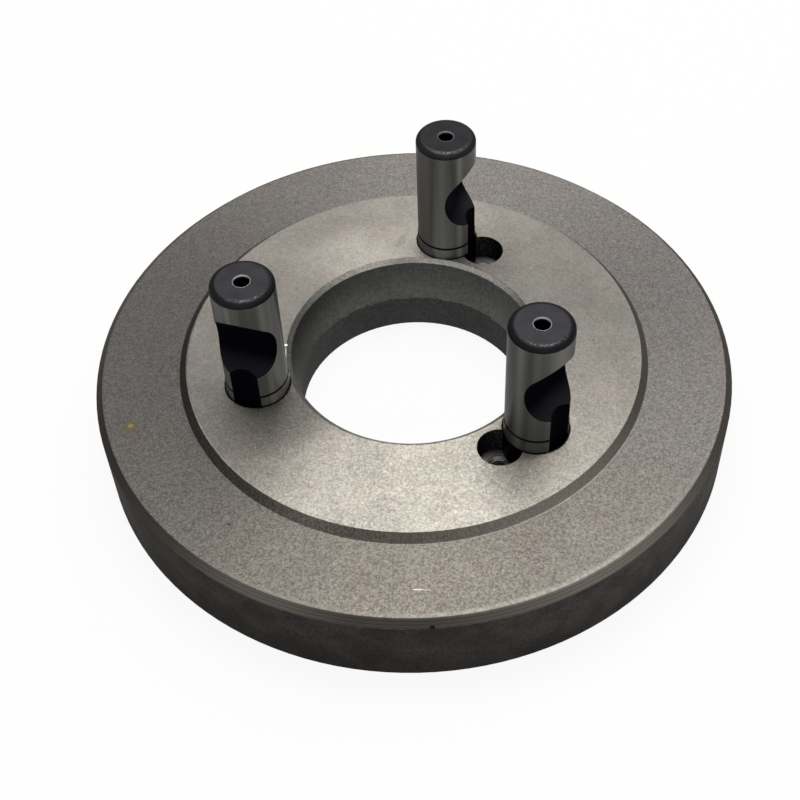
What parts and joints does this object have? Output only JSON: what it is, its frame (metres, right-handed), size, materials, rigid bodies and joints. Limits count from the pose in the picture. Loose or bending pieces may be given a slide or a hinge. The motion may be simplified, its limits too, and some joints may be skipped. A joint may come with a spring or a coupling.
{
  "type": "chuck adapter plate",
  "caption": "Round cast-iron chuck adapter plate with a raised boss, a short tapered bore and screwed-in cam-lock studs for a lathe spindle nose.",
  "frame": {"origin": "centre of the flat chuck side, on the disc's axis", "axes": "+Z along the disc's axis, out of the boss face and along the studs; the back stud lies 76.4 degrees from +X towards +Y"},
  "size_m": [0.1646, 0.1646, 0.0604],
  "materials": {
    "cast_iron": "bare turned grey iron, coarse on the rim and finely ground on the boss",
    "stud_steel": "ground steel, with a black oxide free end, cam notch and flute"
  },
  "bodies": {
    "root": {"adapter_plate": "cast_iron", "cam_stud_back": "stud_steel", "cam_stud_left": "stud_steel", "cam_stud_right": "stud_steel"}
  },
  "joints": []
}
